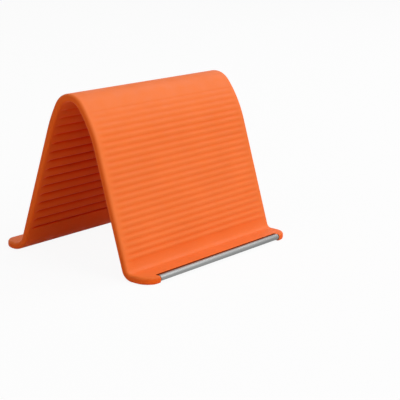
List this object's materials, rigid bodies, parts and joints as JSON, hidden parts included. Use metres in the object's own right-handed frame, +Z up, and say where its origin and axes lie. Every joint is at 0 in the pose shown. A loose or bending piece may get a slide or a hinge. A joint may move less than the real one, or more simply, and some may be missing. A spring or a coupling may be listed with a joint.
{
  "type": "phone stand",
  "caption": "Ribbed rubber sheet bent to an inverted V with flared, rounded lips and a steel rod along the front lip, to prop a phone on a desk.",
  "frame": {"origin": "on the floor, under the middle of the footprint", "axes": "+X along the fold, +Y towards the rear lip, +Z up"},
  "size_m": [0.08, 0.0758, 0.062],
  "materials": {
    "orange_rubber": "matt, fine grain",
    "steel": "satin"
  },
  "bodies": {
    "root": {"ribbed_sheet": "orange_rubber", "steel_rod": "steel"}
  },
  "joints": []
}
